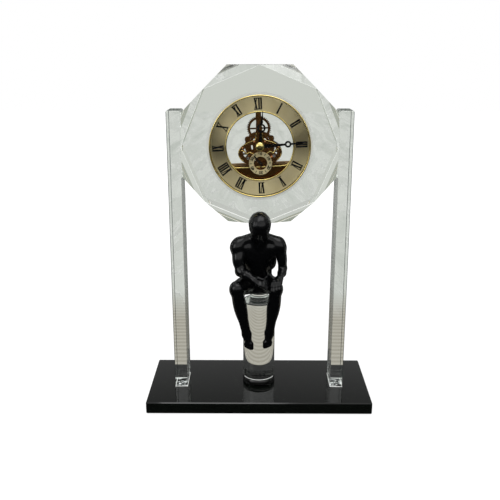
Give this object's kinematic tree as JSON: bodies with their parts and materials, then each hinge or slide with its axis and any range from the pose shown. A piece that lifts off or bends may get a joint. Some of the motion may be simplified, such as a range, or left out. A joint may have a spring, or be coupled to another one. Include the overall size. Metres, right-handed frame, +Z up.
{
  "type": "mystery clock",
  "caption": "Table clock: a skeleton quartz insert in an octagonal crystal block between clear glass pillars, with a seated black figure on a glass column and a black slab.",
  "frame": {"origin": "middle of the flat that the feet rest on", "axes": "+Z up, +X to the right seen from the front, +Y from the dial to the back"},
  "size_m": [0.24, 0.102, 0.3582],
  "materials": {
    "black_stone": "polished black",
    "foot_rubber": "matt",
    "clear_glass": "polished clear",
    "clear_glue": "cured clear glue",
    "clear_rubber": "clear",
    "figure_black": "black gloss",
    "gold": "polished gold plate",
    "champagne": "circular brushed",
    "bronze": "antique bronze, satin",
    "brown_mirror": "mirror brown",
    "ink": "black print",
    "hand_black": "black lacquer",
    "steel": "turned",
    "copper": "enamelled copper wire",
    "board": "green laminate",
    "chip_black": "moulded",
    "white_plastic": "moulded",
    "cell_wrap": "printed wrap, plain",
    "nickel": "nickel plate",
    "magnet": "sintered",
    "lens_glass": "thin flat glass"
  },
  "bodies": {
    "case": {"base_slab": "black_stone", "base_feet": "foot_rubber", "left_pillar": "clear_glass", "right_pillar": "clear_glass", "pillar_glue": "clear_glue", "crystal_block": "clear_glass", "block_glue": "clear_glue", "glass_column": "clear_glass", "column_glue": "clear_glue", "seated_figure": "figure_black", "figure_glue": "clear_glue", "seat_disc": "clear_glass"},
    "insert": {"gasket_ring": "clear_rubber", "case_ring": "gold", "bezel": "gold", "lens": "lens_glass", "chapter_ring": "champagne", "hour_numerals": "ink", "bead_ring": "gold", "front_bridge": "bronze", "middle_plate": "bronze", "rear_plate": "bronze", "top_bar": "bronze", "bridge_posts": "gold", "bridge_screws": "steel", "sub_dial": "champagne", "sub_dial_marks": "ink", "battery_block": "brown_mirror", "module_cover": "brown_mirror", "cover_screws": "steel", "positive_contact": "nickel", "negative_spring": "nickel", "circuit_board": "board", "quartz_can": "nickel", "timing_chip": "chip_black", "coil_bobbin": "white_plastic", "coil_winding": "copper", "coil_core": "steel", "stator": "steel"},
    "cell": {"battery_cell": "cell_wrap"},
    "seconds_train": {"seconds_wheel": "bronze", "seconds_arbor": "steel", "seconds_hand": "hand_black"},
    "rotor": {"rotor_magnet": "magnet", "rotor_pinion": "steel"},
    "fifth": {"fifth_wheel": "bronze", "fifth_pinion": "steel"},
    "third": {"third_wheel": "bronze", "third_pinion": "steel"},
    "centre": {"centre_wheel": "bronze"},
    "minute_train": {"minute_arbor": "steel", "clutch_spring": "steel", "minute_hand": "hand_black", "hand_nut": "gold", "setting_knob": "white_plastic"},
    "motion": {"minute_wheel": "bronze", "minute_pinion": "steel"},
    "hour_train": {"hour_wheel": "bronze", "hour_pipe": "gold", "hour_hand": "hand_black"}
  },
  "joints": [
    {"name": "insert_pull", "type": "slide", "parent": "case", "child": "insert", "axis": [0, -1, 0], "range_m": [0, 0.04]},
    {"name": "cell_out", "type": "slide", "parent": "insert", "child": "cell", "axis": [0, 1, 0], "range_m": [0, 0.03]},
    {"name": "seconds_turn", "type": "hinge", "parent": "insert", "child": "seconds_train", "pos_m": [0.00083, -0.0025, 0.26252], "axis": [0, 1, 0], "continuous": true},
    {"name": "rotor_turn", "type": "hinge", "parent": "insert", "child": "rotor", "pos_m": [0.01347, -0.0025, 0.25993], "axis": [0, 1, 0], "continuous": true},
    {"name": "fifth_turn", "type": "hinge", "parent": "insert", "child": "fifth", "pos_m": [0.01083, -0.0025, 0.27302], "axis": [0, 1, 0], "continuous": true},
    {"name": "third_turn", "type": "hinge", "parent": "insert", "child": "third", "pos_m": [-0.0091, -0.0025, 0.27105], "axis": [0, 1, 0], "continuous": true},
    {"name": "centre_turn", "type": "hinge", "parent": "insert", "child": "centre", "pos_m": [0, -0.0025, 0.2795], "axis": [0, 1, 0], "continuous": true},
    {"name": "minute_turn", "type": "hinge", "parent": "insert", "child": "minute_train", "pos_m": [0, -0.0025, 0.2795], "axis": [0, 1, 0], "continuous": true},
    {"name": "motion_turn", "type": "hinge", "parent": "insert", "child": "motion", "pos_m": [-0.00086, -0.0025, 0.29708], "axis": [0, 1, 0], "continuous": true},
    {"name": "hour_turn", "type": "hinge", "parent": "insert", "child": "hour_train", "pos_m": [0, -0.0025, 0.2795], "axis": [0, 1, 0], "continuous": true}
  ],
  "couplings": [
    {"joint": "fifth_turn", "follows": "seconds_turn", "ratio": -5},
    {"joint": "rotor_turn", "follows": "seconds_turn", "ratio": 30},
    {"joint": "third_turn", "follows": "seconds_turn", "ratio": -0.16667},
    {"joint": "centre_turn", "follows": "seconds_turn", "ratio": 0.016667},
    {"joint": "motion_turn", "follows": "minute_turn", "ratio": -0.5},
    {"joint": "hour_turn", "follows": "minute_turn", "ratio": 0.083333}
  ]
}
